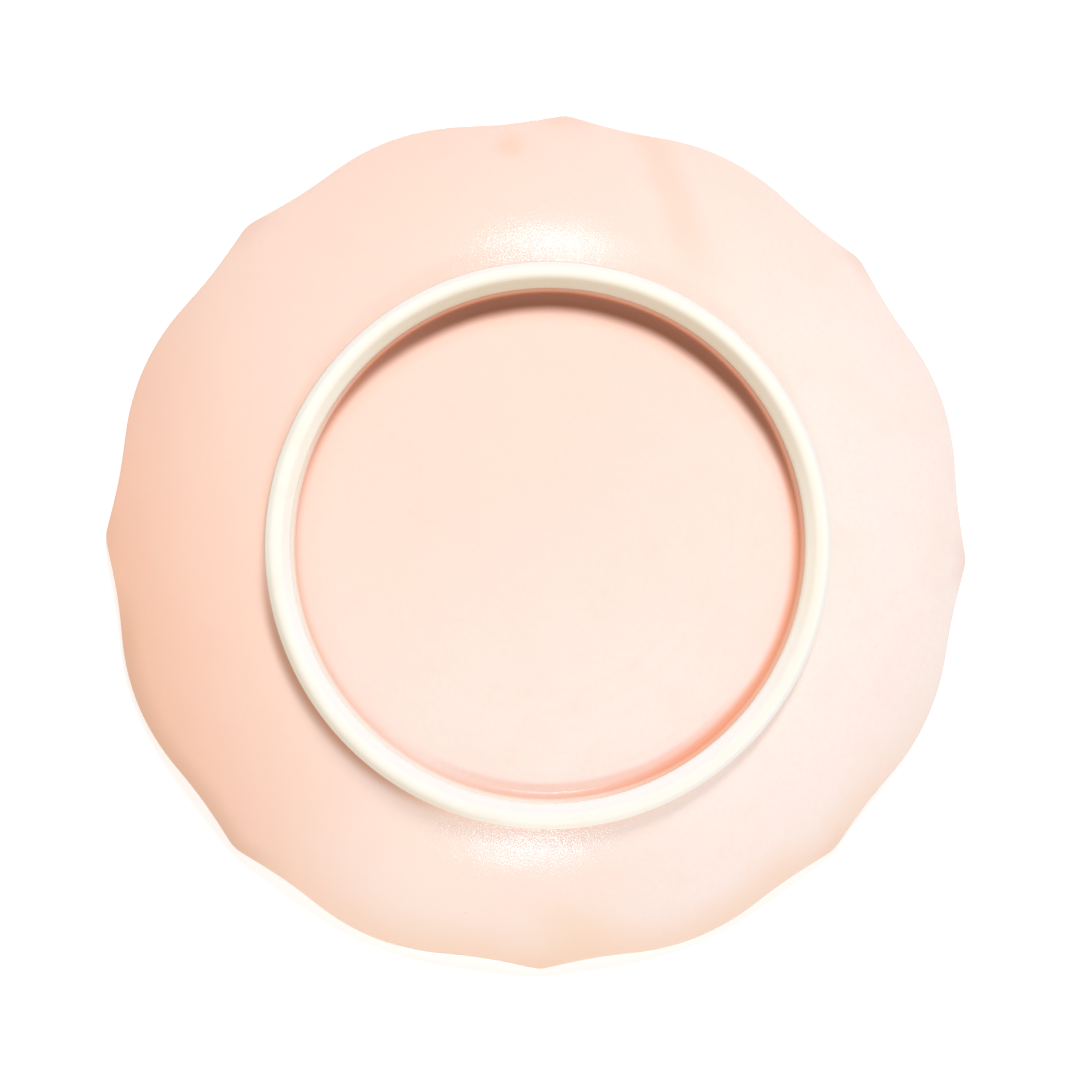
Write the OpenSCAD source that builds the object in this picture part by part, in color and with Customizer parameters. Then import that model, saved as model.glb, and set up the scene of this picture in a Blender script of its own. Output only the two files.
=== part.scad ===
// Scalloped dessert plate.
// A shallow dish with a flat well and a curved wall, on a bare foot ring, under a coat of glaze.
// The rim is a smooth dish cut to a scalloped outline, so the lip dips a little between the points.
// Frame: the foot stands on z = 0, +Z is up out of the face, and a point of the rim lies on +X.

/* [Plate] */
// Width across two opposite points of the rim, which the middles of the scallops reach too
plate_d = 210; // [170:1:260]
// Height of the points of the rim above the table
plate_h = 27; // [23:0.5:36]

/* [Scallops] */
// Number of scallops round the rim
scallops = 8; // [6:1:10]
// Radius of the convex arc in the middle of a scallop
lobe_r = 56.5; // [45:0.5:65]
// Radius of the concave arc on either side of a point
notch_r = 128; // [60:1:160]
// Radius that softens each point
tip_r = 8; // [5:0.5:14]

/* [Wall and floor] */
// Thickness across the glazed wall at the lip
lip_t = 3.6; // [2.8:0.1:5]
// Slope of the wall at the points of the rim, in degrees
rim_slope = 40; // [32:1:48]
// Thickness of the floor, from the seat of the foot ring to the glazed face
floor_t = 5.4; // [4.8:0.1:7.5]
// Thickness of the glaze
glaze_t = 0.4; // [0.2:0.05:0.7]

/* [Foot] */
// Diameter of the corner where the foot ring meets the back of the plate
foot_d = 131; // [110:0.2:144]
// Height of that corner above the table, where the foot ring is seated
foot_h = 5.2; // [4.8:0.1:8]
// Width of the land that the plate stands on, between its bevels
land_w = 2.2; // [1.8:0.1:4]
// Width of the bevel outside the land
bevel_w = 1.4; // [0.8:0.1:2]
// Height of that bevel
bevel_h = 1.6; // [1:0.1:2.4]
// How far the outer side of the foot leans out between its bevel and its seat
foot_lean = 0.3; // [0:0.1:1]
// Width of the bevel inside the land
inner_w = 2; // [1.2:0.1:2.6]
// Height of that bevel
inner_h = 2.3; // [1.4:0.1:2.6]
// How far the inner side of the foot leans in between its bevel and its seat
inner_lean = 0.6; // [0:0.1:1]
// Radius that rounds the edges of the foot
foot_edge_r = 1.6; // [0.4:0.1:1.8]

/* [Base inside the foot] */
// How far the base is cut in above the seat of the foot ring
recess_h = 2.2; // [1:0.1:2.8]
// Height above the table of the edge of the glaze inside the foot
line_h = 3.2; // [3:0.1:4.4]
// How far the pooled glaze reaches in from the side of the recess
pool_w = 2.6; // [1.5:0.1:8]
// How far it climbs that side
pool_h = 1.6; // [0.8:0.1:2.4]

/* [Hidden] */

clay_colour = "#F3E9DA";
glaze_colour = "#F6D3C3";
$fn = 128;

// Steps along the stretches of the section and of the outline
face_steps = 6;
lip_steps = 4;
back_steps = 5;
tip_steps = 2;
notch_steps = 3;
lobe_steps = 4;
edge_steps = 6;
pool_steps = 8;

plate_r = plate_d / 2;
foot_r = foot_d / 2;
floor_z = foot_h + floor_t;
lip_r = lip_t / 2;
pitch = 360 / scallops;

// Direction of v in degrees, v at length 1, and the point at an angle on a circle about c
function heading(v) = atan2(v.y, v.x);
function unit(v) = v / norm(v);
function on_circle(c, r, a) = c + r * [cos(a), sin(a)];

// Outline of the rim
// In plan, from a point of the rim to the middle of a scallop: the tip's arc, then the notch's arc,
// then the lobe's. Each touches the next, so the notch's centre is where two circles cross.
tip_c = [plate_r - tip_r, 0];
lobe_c = on_circle([0, 0], plate_r - lobe_r, pitch / 2);
tip_to_lobe = lobe_c - tip_c;
tip_reach = notch_r + tip_r;
lobe_reach = notch_r + lobe_r;
along = (tip_reach ^ 2 - lobe_reach ^ 2 + norm(tip_to_lobe) ^ 2) / (2 * norm(tip_to_lobe));
notch_c = on_circle(tip_c, tip_reach, heading(tip_to_lobe) - acos(along / tip_reach));

// Points along an arc, without its last
function arc(c, r, from, to, steps) =
    [for (i = [0 : steps - 1]) on_circle(c, r, from + (to - from) * i / steps)];

half_scallop = concat(
    arc(tip_c, tip_r, 0, heading(notch_c - tip_c), tip_steps),
    arc(notch_c, notch_r, 180 + heading(notch_c - tip_c), 180 + heading(notch_c - lobe_c), notch_steps),
    arc(lobe_c, lobe_r, heading(notch_c - lobe_c), pitch / 2, lobe_steps)
);

// The outline's radius and angle at each column of the skin: from a point to the next, then all round
to_middle = [for (p = half_scallop) [norm(p), heading(p)]];
from_middle = [for (i = [len(to_middle) - 1 : -1 : 1]) [to_middle[i][0], pitch - to_middle[i][1]]];
scallop = concat(to_middle, [[plate_r, pitch / 2]], from_middle);
columns = [for (k = [0 : scallops - 1]) for (c = scallop) [c[0], c[1] + k * pitch]];

// Section of the dish
// The face is an arc that leaves the flat well level. The back is an arc that leaves the foot's corner.
// At a point of the rim both have the slope rim_slope, and a half round joins them.
lip_in = lip_r * (1 + sin(rim_slope));
lip_out = lip_r * (1 - sin(rim_slope));
face_end_z = plate_h - lip_r * (1 - cos(rim_slope));
back_end_z = plate_h - lip_r * (1 + cos(rim_slope));
face_r = (face_end_z - floor_z) / (1 - cos(rim_slope));
well_r = plate_r - lip_in - face_r * sin(rim_slope);
back_chord = [plate_r - lip_out - foot_r, back_end_z - foot_h];
back_r = norm(back_chord) / (2 * sin(rim_slope - heading(back_chord)));
corner_slope = 2 * heading(back_chord) - rim_slope;
back_c = [foot_r - back_r * sin(corner_slope), foot_h + back_r * cos(corner_slope)];

// Points [radius, height] of the section where the outline's radius is edge. t runs from 0 to 1 along the
// stretch, from the well outwards and round to the foot, and depth is how far below the glaze's surface.
function face_point(edge, t, depth) =
    let (slope = t * asin((edge - lip_in - well_r) / face_r))
    [well_r + (face_r + depth) * sin(slope), floor_z + face_r - (face_r + depth) * cos(slope)];

function back_point(edge, t, depth) =
    let (end_slope = asin((edge - lip_out - back_c.x) / back_r))
    let (slope = end_slope + (corner_slope - end_slope) * t)
    back_c + (back_r - depth) * [sin(slope), -cos(slope)];

function lip_point(edge, t, depth) =
    let (face_end = face_point(edge, 1, 0), back_end = back_point(edge, 0, 0))
    let (middle = (face_end + back_end) / 2, across = (face_end - back_end) / 2)
    let (outwards = [across.y, -across.x])
    middle + (1 - depth / lip_r) * (across * cos(180 * t) + outwards * sin(180 * t));

function turned(p, angle) = [p.x * cos(angle), p.x * sin(angle), p.y];

// Rings of the dish's surface at a depth below the glaze, from the well over the lip to the foot's corner
function skin(depth) = concat(
    [for (i = [0 : face_steps]) [for (c = columns) turned(face_point(c[0], i / face_steps, depth), c[1])]],
    [for (i = [1 : lip_steps - 1]) [for (c = columns) turned(lip_point(c[0], i / lip_steps, depth), c[1])]],
    [for (i = [0 : back_steps]) [for (c = columns) turned(back_point(c[0], i / back_steps, depth), c[1])]]
);

function reversed(list) = [for (i = [len(list) - 1 : -1 : 0]) list[i]];

// A solid whose skin runs from the point top, through the rings, to the point bottom. From ring fold on
// the skin runs back inwards, and its facets split the other way, so two skins on the same rings match.
module lofted(top, rings, bottom, fold) {
    round = len(columns);
    last = len(rings) - 1;
    end = 1 + len(rings) * round;
    function at(i, j) = 1 + i * round + j % round;
    function facets(i, j) =
        let (a = at(i, j), b = at(i, j + 1), c = at(i + 1, j + 1), d = at(i + 1, j))
        i < fold ? [[a, b, c], [a, c, d]] : [[a, b, d], [b, c, d]];
    polyhedron(
        points = concat([top], [for (ring = rings) each ring], [bottom]),
        faces = concat(
            [for (j = [0 : round - 1]) [0, at(0, j + 1), at(0, j)]],
            [for (i = [0 : last - 1]) for (j = [0 : round - 1]) each facets(i, j)],
            [for (j = [0 : round - 1]) [end, at(last, j), at(last, j + 1)]]
        )
    );
}

// Section of the foot ring
land_out = foot_r - foot_lean - bevel_w;
land_in = land_out - land_w;
side_in = land_in - inner_w;

// Radius of the inner side at a height, from the bevel up past the seat into the base
function inside_r(z) = side_in - inner_lean * (z - inner_h) / (foot_h - inner_h);

// Points of the arc that rounds a corner of the foot, on the way from before to after
function rounded(before, corner, after) =
    let (u = unit(before - corner), v = unit(after - corner))
    let (half_angle = acos(u * v) / 2)
    let (c = corner + unit(u + v) * foot_edge_r / sin(half_angle))
    let (middle = heading(-u - v), swing = cross(u, v) < 0 ? 90 - half_angle : half_angle - 90)
    [for (i = [0 : edge_steps]) on_circle(c, foot_edge_r, middle + swing * (2 * i / edge_steps - 1))];

foot_corners = [
    [foot_r, foot_h],
    [foot_r - foot_lean, bevel_h],
    [land_out, 0],
    [land_in, 0],
    [side_in, inner_h],
    [inside_r(foot_h), foot_h]
];

// Base inside the foot: the recess in the clay, and the glaze that lines it and pools in its corner
recess_z = foot_h + recess_h;
base_z = recess_z - glaze_t;
pool_z = base_z - pool_h;
pool_r = inside_r(pool_z) - glaze_t;
edge_z = line_h + glaze_t;

// The dish: floor, wall and scalloped rim, up to the underside of the glaze, with the base cut in
module clay_body() {
    corner = [for (c = columns) turned([foot_r, foot_h], c[1])];
    rings = concat(skin(glaze_t), [corner]);
    cut_z = foot_h - recess_h;
    color(clay_colour)
        difference() {
            lofted([0, 0, floor_z - glaze_t], rings, [0, 0, foot_h], len(rings));
            rotate_extrude()
                polygon([[0, cut_z], [inside_r(cut_z), cut_z], [inside_r(recess_z), recess_z], [0, recess_z]]);
        }
}

// The bare ring that the plate stands on, seated flat under the dish
module foot_ring() {
    last = len(foot_corners) - 1;
    color(clay_colour)
        rotate_extrude()
            polygon(concat(
                [foot_corners[0]],
                [for (i = [1 : last - 1])
                    each rounded(foot_corners[i - 1], foot_corners[i], foot_corners[i + 1])],
                [foot_corners[last]]
            ));
}

// The glaze over the face, round the lip and down the back to the foot
module glaze_coat() {
    outside = skin(0);
    rings = concat(outside, reversed(skin(glaze_t)));
    color(glaze_colour)
        lofted([0, 0, floor_z], rings, [0, 0, floor_z - glaze_t], len(outside));
}

// The glaze inside the foot ring, from its edge on the foot up into the recess, pooled in the corner
module base_glaze() {
    cove = [for (i = [0 : pool_steps])
        let (a = 90 * i / pool_steps)
        [pool_r - pool_w * (1 - cos(a)), pool_z + pool_h * sin(a)]];
    color(glaze_colour)
        rotate_extrude()
            polygon(concat(
                [[0, recess_z], [inside_r(recess_z), recess_z], [inside_r(line_h), line_h]],
                [[inside_r(edge_z) - glaze_t, edge_z]],
                cove,
                [[0, base_z]]
            ));
}

clay_body();
foot_ring();
glaze_coat();
base_glaze();
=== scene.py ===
"""A scalloped dessert plate: a clay dish under a satin pink glaze, on a bare turned foot.

The plate stands on z = 0 with its face up, and the camera looks at its back from below. Lengths are in
metres.
"""

import logging
from collections.abc import Mapping, Sequence
from dataclasses import dataclass
from enum import Enum
from typing import Any

import bpy
import numpy as np
from mathutils import Matrix, Vector


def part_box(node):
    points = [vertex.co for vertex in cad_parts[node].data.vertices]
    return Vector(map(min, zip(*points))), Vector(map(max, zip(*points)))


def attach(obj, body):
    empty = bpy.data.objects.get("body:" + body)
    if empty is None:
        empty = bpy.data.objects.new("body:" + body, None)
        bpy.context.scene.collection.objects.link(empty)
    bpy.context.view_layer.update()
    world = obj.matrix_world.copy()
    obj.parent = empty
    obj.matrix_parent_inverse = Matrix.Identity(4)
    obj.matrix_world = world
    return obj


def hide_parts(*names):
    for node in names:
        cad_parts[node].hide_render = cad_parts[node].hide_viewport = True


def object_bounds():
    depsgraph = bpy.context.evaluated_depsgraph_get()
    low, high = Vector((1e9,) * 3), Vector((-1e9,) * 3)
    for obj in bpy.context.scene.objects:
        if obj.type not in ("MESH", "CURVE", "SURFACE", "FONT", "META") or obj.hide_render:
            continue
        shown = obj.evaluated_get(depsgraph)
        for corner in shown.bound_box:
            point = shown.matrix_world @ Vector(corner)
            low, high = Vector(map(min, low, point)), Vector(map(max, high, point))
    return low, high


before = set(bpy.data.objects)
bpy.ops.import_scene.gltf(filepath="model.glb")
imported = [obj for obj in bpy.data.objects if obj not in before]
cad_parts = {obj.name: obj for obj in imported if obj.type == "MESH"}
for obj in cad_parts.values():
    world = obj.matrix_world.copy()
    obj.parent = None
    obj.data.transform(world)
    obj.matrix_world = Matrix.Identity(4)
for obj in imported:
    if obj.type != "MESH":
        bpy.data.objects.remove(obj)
cad_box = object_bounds()

log = logging.getLogger("plate")

MM = 0.001
BODY = "root"
COLUMNS_PER_SCALLOP = 60

Point = tuple[float, float, float]
Way = tuple[float, float, float]
Span = tuple[float, float]

ROSE = "#FCD2C3"
STRAW = "#FCDEC2"
POOLED = "#FDAC88"
TOASTED_AND_SHADED = "#F3B693"
THIN = "#FDF4E6"
SANDY = "#F6ECD8"
# Painted light and painted shade on the foot's bevels.
BEVEL_LIGHT = "#FFFDF9"
BEVEL_SHADE = "#E1D3BB"
# Way of the side where the foot's painted shadow falls on the wall.
FOOT_SHADOW_WAY: Way = (0.788, -0.616, 0)
INNER_BEVEL: Span = (-1.0 * MM, 1.3 * MM)
OUTER_BEVEL: Span = (-0.9 * MM, 1.6 * MM)


class Slot(Enum):
    """Material slots of the record."""

    CLAY = "clay"
    BARE_FOOT = "bare_foot"
    GLAZE = "glaze"
    BASE_GLAZE = "base_glaze"


class Side(Enum):
    """The side of the plate that a lamp or a ground lies on, as the sign of its height."""

    BELOW = -1
    ABOVE = 1


def linear(colour: str) -> tuple[float, float, float, float]:
    """Turns a written colour into the linear values that a shader takes, by the sRGB curve.

    Args:
        colour: Six hex digits after a hash sign, as seen on a screen.

    Returns:
        Red, green and blue as shares of full light, and an alpha of 1.
    """
    seen = np.array([int(colour[i:i + 2], 16) for i in (1, 3, 5)]) / 255
    light = np.where(seen <= 0.04045, seen / 12.92, ((seen + 0.055) / 1.055) ** 2.4)
    return (*light.tolist(), 1.0)


def eased(share: np.ndarray) -> np.ndarray:
    """Goes from 0 to 1 with level ends, 3s^2 - 2s^3, and stays there outside."""
    held = np.clip(share, 0, 1)
    return held * held * (3 - 2 * held)


class Wire:
    """A socket's value in a node tree, on which arithmetic adds Math nodes."""

    def __init__(self, graph: "Graph", socket: bpy.types.NodeSocket) -> None:
        """Keeps the socket and the graph that it belongs to."""
        self.graph = graph
        self.socket = socket

    def beside(self, name: str) -> "Wire":
        """Another output of the same node."""
        return Wire(self.graph, self.socket.node.outputs[name])

    def __add__(self, other: "Wire | float") -> "Wire":
        """Sum."""
        return self.graph.maths("ADD", self, other)

    def __radd__(self, other: float) -> "Wire":
        """Sum with a number on the left."""
        return self.graph.maths("ADD", other, self)

    def __sub__(self, other: "Wire | float") -> "Wire":
        """Difference."""
        return self.graph.maths("SUBTRACT", self, other)

    def __rsub__(self, other: float) -> "Wire":
        """Difference from a number on the left."""
        return self.graph.maths("SUBTRACT", other, self)

    def __mul__(self, other: "Wire | float") -> "Wire":
        """Product."""
        return self.graph.maths("MULTIPLY", self, other)

    def __rmul__(self, other: float) -> "Wire":
        """Product with a number on the left."""
        return self.graph.maths("MULTIPLY", other, self)

    def __abs__(self) -> "Wire":
        """Size without its sign."""
        return self.graph.maths("ABSOLUTE", self)


class Graph:
    """The nodes of one material or world."""

    def __init__(self, tree: bpy.types.NodeTree) -> None:
        """Starts from an empty tree."""
        self.tree = tree
        self.tree.nodes.clear()

    def node(
        self,
        kind: str,
        settings: Mapping[str, Any] | None = None,
        sockets: Mapping[str | int, Any] | None = None,
        output: str | int = 0,
    ) -> Wire | None:
        """Adds a node.

        Args:
            kind: Its type, without the words that all shader nodes start with.
            settings: Its own settings, set first.
            sockets: A value or a wire for each input that is set, by name or place.
            output: The output to hand back, by name or place.

        Returns:
            That output, or None where the node has none.
        """
        made = self.tree.nodes.new("ShaderNode" + kind)
        for name, value in (settings or {}).items():
            setattr(made, name, value)
        for place, value in (sockets or {}).items():
            if isinstance(value, Wire):
                self.tree.links.new(value.socket, made.inputs[place])
            else:
                made.inputs[place].default_value = value
        return Wire(self, made.outputs[output]) if made.outputs else None

    def maths(self, operation: str, *values: Wire | float) -> Wire:
        """A Math node on one or two values."""
        return self.node("Math", {"operation": operation}, dict(enumerate(values)))

    def rise(self, value: Wire, start: float, end: float) -> Wire:
        """Goes smoothly from 0 where value is start to 1 where it is end."""
        sockets = {"Value": value, "From Min": start, "From Max": end}
        return self.node("MapRange", {"interpolation_type": "SMOOTHSTEP"}, sockets)

    def fall(self, value: Wire, start: float, end: float) -> Wire:
        """Goes smoothly from 1 where value is start to 0 where it is end."""
        return 1 - self.rise(value, start, end)

    def blend(self, share: Wire | float, first: Any, second: Any) -> Wire:
        """Mixes two colours, the second by a share."""
        return self.node("Mix", {"data_type": "RGBA"}, {0: share, 6: first, 7: second}, 2)

    def place(self) -> Wire:
        """The point on the surface, in the plate's own frame."""
        return self.node("TexCoord", output="Object")

    def flat(self, place: Wire) -> Wire:
        """A point moved to the plane z = 0."""
        return self.node("VectorMath", {"operation": "MULTIPLY"}, {0: place, 1: (1, 1, 0)})

    def from_axis(self, place: Wire) -> Wire:
        """Distance of a point from the plate's axis."""
        return self.node("VectorMath", {"operation": "LENGTH"}, {0: self.flat(place)}, "Value")

    def bearing(self, place: Wire) -> Wire:
        """Direction of a point from the plate's axis, as a vector of length 1."""
        return self.node("VectorMath", {"operation": "NORMALIZE"}, {0: self.flat(place)})

    def along(self, place: Wire, way: Way) -> Wire:
        """How far a point lies along a direction."""
        return self.node("VectorMath", {"operation": "DOT_PRODUCT"}, {0: place, 1: way}, "Value")

    def apart(self, place: Wire, other: Point) -> Wire:
        """Distance of a point from another."""
        return self.node("VectorMath", {"operation": "DISTANCE"}, {0: place, 1: other}, "Value")

    def mark(self, name: str) -> Wire:
        """A value that the mesh holds at each point."""
        return self.node("Attribute", {"attribute_name": name}, output="Fac")

    def noise(self, place: Wire, grain: float, detail: float = 2.0) -> Wire:
        """Cloudy noise from 0 to 1 with patches of about a given width."""
        return self.node("TexNoise", {}, {"Vector": place, "Scale": 1 / grain, "Detail": detail})

    def rings(self, radius: Wire, grain: float) -> Wire:
        """Noise that changes with the radius alone, with rings of about a given width."""
        sockets = {"W": radius, "Scale": 1 / grain, "Detail": 3}
        return self.node("TexNoise", {"noise_dimensions": "1D"}, sockets)

    def bump(self, height: Wire, depth: float, under: Wire | None = None) -> Wire:
        """Tilts the surface as if it stood up from where it lies.

        Args:
            height: How far it stands up, from 0 to 1.
            depth: The distance that a height of 1 stands for.
            under: Another bump that this one lies on.

        Returns:
            The surface's direction.
        """
        sockets = {"Height": height, "Distance": depth}
        if under:
            sockets["Normal"] = under
        return self.node("Bump", {}, sockets)

    def surface(self, **sockets: Any) -> None:
        """Ends the graph in one glossy surface whose inputs are named with underscores for spaces."""
        named = {name.replace("_", " "): value for name, value in sockets.items()}
        self.end(self.node("BsdfPrincipled", {}, named))

    def end(self, shader: Wire) -> None:
        """Ends the graph in a shader."""
        self.node("OutputMaterial", {}, {"Surface": shader})


def new_material(name: str) -> tuple[bpy.types.Material, Graph]:
    """Makes an empty material.

    Args:
        name: Its name.

    Returns:
        The material and its graph.
    """
    material = bpy.data.materials.new(name)
    material.use_nodes = True
    return material, Graph(material.node_tree)


@dataclass(frozen=True)
class Specks:
    """Scattered dots: one in each cell of a given spacing, of which only a share keep theirs."""

    colour: str
    spacing: float
    radius: float
    share: float
    strength: float
    core: float = 0.4

    def over(self, graph: Graph, place: Wire, colour: Wire) -> Wire:
        """Lays the dots over a colour, full in their core and fading to their radius.

        Args:
            graph: The material's graph.
            place: The point on the surface.
            colour: The colour under them.

        Returns:
            The colour with the dots.
        """
        cells = graph.node("TexVoronoi", {}, {"Vector": place, "Scale": 1 / self.spacing}, "Distance")
        chance = graph.node("SeparateColor", {}, {0: cells.beside("Color")})
        kept = graph.maths("LESS_THAN", chance, self.share)
        edge = self.radius / self.spacing
        dots = kept * graph.fall(cells, self.core * edge, edge)
        return graph.blend(self.strength * dots, colour, linear(self.colour))


@dataclass(frozen=True)
class Cloud:
    """Patches of another colour, which start at one level of cloudy noise and are full at the next."""

    colour: str
    grain: float
    detail: float
    levels: Span
    strength: float

    def over(self, graph: Graph, place: Wire, colour: Any) -> Wire:
        """Lays the patches over a colour.

        Args:
            graph: The material's graph.
            place: The point on the surface.
            colour: The colour under them.

        Returns:
            The colour with the patches.
        """
        share = graph.rise(graph.noise(place, self.grain, self.detail), *self.levels)
        return graph.blend(self.strength * share, colour, linear(self.colour))


@dataclass(frozen=True)
class Blush:
    """A spot where the glaze fired to another colour, with a blurred edge."""

    colour: str
    strength: float
    centre: Point
    reach: float
    blur: float = 6 * MM
    blur_grain: float = 7 * MM

    def over(self, graph: Graph, place: Wire, colour: Wire) -> Wire:
        """Lays the spot over a colour.

        Args:
            graph: The material's graph.
            place: The point on the surface.
            colour: The colour under it.

        Returns:
            The colour with the spot.
        """
        blurred = self.blur * (graph.noise(place, self.blur_grain, 3) - 0.5)
        share = graph.fall(graph.apart(place, self.centre) + blurred, 0, self.reach)
        return graph.blend(self.strength * share, colour, linear(self.colour))


@dataclass(frozen=True)
class Streak:
    """A run of glaze down the wall: a stripe along a way, at an offset across it, that starts some way out.

    half_width holds the distances from its middle where it is full and where it ends, and start holds the
    distances along its way where it starts and where it is full.
    """

    colour: str
    strength: float
    way: Way
    across: Way
    offset: float
    half_width: Span
    start: Span
    wobble: float
    wobble_grain: float

    def over(self, graph: Graph, place: Wire, colour: Wire) -> Wire:
        """Lays the run over a colour.

        Args:
            graph: The material's graph.
            place: The point on the surface.
            colour: The colour under it.

        Returns:
            The colour with the run.
        """
        aside = abs(graph.along(place, self.across) - self.offset)
        aside = aside + self.wobble * graph.noise(place, self.wobble_grain)
        share = graph.fall(aside, *self.half_width) * graph.rise(graph.along(place, self.way), *self.start)
        return graph.blend(self.strength * share, colour, linear(self.colour))


@dataclass(frozen=True)
class SideTone:
    """A tone on one side of the plate, in a band beside an edge; most of these are painted light or shade on
    that side.

    facing holds the cosines of the angle from its way where it starts and where it is full. band holds the
    distances from the edge where it is full and where it ends.
    """

    colour: str
    strength: float
    way: Way
    facing: Span
    band: Span

    def over(self, graph: Graph, bearing: Wire, distance: Wire, colour: Wire) -> Wire:
        """Lays the tone over a colour.

        Args:
            graph: The material's graph.
            bearing: Direction of the point from the axis.
            distance: Its distance from the edge.
            colour: The colour under it.

        Returns:
            The colour with the tone.
        """
        share = graph.rise(graph.along(bearing, self.way), *self.facing) * graph.fall(distance, *self.band)
        return graph.blend(self.strength * share, colour, linear(self.colour))


@dataclass(frozen=True)
class Pool:
    """Glaze that ran into the corner of the base, and lies there in bands along its edge on the foot, with
    the foot's shadow painted over it.

    First comes the edge, thin on the lit side of the plate, and toasted and darkened by painted shade on its
    shaded side. Then comes the pool, which is wider and closer to the edge on the shaded side, partly real
    pooling and partly painted shade, and reaches in as a faint apron on another. A painted shadow, the dark
    crescent that the foot casts into the base, lies over it in a painted penumbra of the pool's colour.
    Bands, starts and ends are distances from the edge.
    """

    pooled: str = POOLED
    # Colour of the painted shadow that the foot casts into the base.
    painted_shadow: str = "#985F43"
    thin: str = THIN
    toasted_and_shaded: str = TOASTED_AND_SHADED
    wobble: float = 0.5 * MM
    wobble_grain: float = 12 * MM
    apron: SideTone = SideTone(POOLED, 0.3, (-0.26, -0.97, 0), (0.7, 0.95), (5.4 * MM, 6.8 * MM))
    shaded_side_way: Way = (-0.766, 0.643, 0)
    shaded_side_facing: Span = (-0.75, 0)
    lit_side_strength: float = 0.3
    shaded_side_gain: float = 0.65
    pool_start: Span = (1.5 * MM, 3.1 * MM)
    pool_end: Span = (2.3 * MM, 4.5 * MM)
    shaded_side_start: float = 1.5 * MM
    shaded_side_end: float = 0.5 * MM
    widening: float = 1.6 * MM
    dark_way: Way = (-0.26, 0.966, 0)
    dark_facing: Span = (-0.35, 0.9)
    shadow_way: Way = (-0.105, 0.994, 0)
    shadow_facing: Span = (0.1, 1.0)
    shadow_width: float = 3.85 * MM
    shadow_start: Span = (-0.2 * MM, 3.8 * MM)
    shadow_end: Span = (1.6 * MM, 4.4 * MM)
    penumbra_strength: float = 0.3
    penumbra_band: Span = (3 * MM, 7 * MM)
    edge_band: Span = (0.3 * MM, 1.9 * MM)
    edge_strength: float = 0.8
    edge_shadow_share: float = 0.54

    def over(self, graph: Graph, place: Wire, colour: Wire) -> tuple[Wire, Wire, Wire]:
        """Lays the bands over a colour.

        Args:
            graph: The material's graph.
            place: The point on the surface.
            colour: The colour under them.

        Returns:
            The colour with the bands, how far the glaze has pooled, and the share of the painted shadow.
        """
        from_edge = graph.mark("from_edge")
        ragged = from_edge + self.wobble * (graph.noise(place, self.wobble_grain) - 0.5)
        bearing = graph.bearing(place)
        colour = self.apron.over(graph, bearing, ragged, colour)
        # The shaded side: the pool is wider and stronger there, partly real pooling and partly painted
        # shade.
        shaded_side = graph.rise(graph.along(bearing, self.shaded_side_way), *self.shaded_side_facing)
        pool_and_shade = self.lit_side_strength + self.shaded_side_gain * shaded_side
        pool = graph.rise(ragged + self.shaded_side_start * shaded_side, *self.pool_start)
        pool = pool * graph.fall(ragged + self.shaded_side_end * shaded_side - self.widening * pool_and_shade, *self.pool_end)
        colour = graph.blend(pool_and_shade * pool, colour, linear(self.pooled))
        # Painted shadow of the foot: a dark crescent on the side away from the light, in a painted penumbra
        # of the pool's colour.
        dark = graph.rise(graph.along(bearing, self.dark_way), *self.dark_facing)
        width = self.shadow_width * graph.rise(graph.along(bearing, self.shadow_way), *self.shadow_facing)
        painted_penumbra = self.penumbra_strength * dark * graph.fall(ragged - width, *self.penumbra_band)
        colour = graph.blend(painted_penumbra, colour, linear(self.pooled))
        painted_shadow = dark * graph.rise(ragged, *self.shadow_start) * graph.fall(ragged - width, *self.shadow_end)
        colour = graph.blend(painted_shadow, colour, linear(self.painted_shadow))
        # Thin glaze at the edge on the lit side; on the shaded side the edge is toasted and darkened by
        # painted shade.
        edge = graph.fall(from_edge, *self.edge_band)
        colour = graph.blend(edge * (1 - shaded_side), colour, linear(self.thin))
        edge_shade = graph.blend(self.edge_shadow_share * dark, linear(self.toasted_and_shaded), linear(self.painted_shadow))
        return graph.blend(self.edge_strength * edge * shaded_side, colour, edge_shade), pool, painted_shadow


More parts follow.
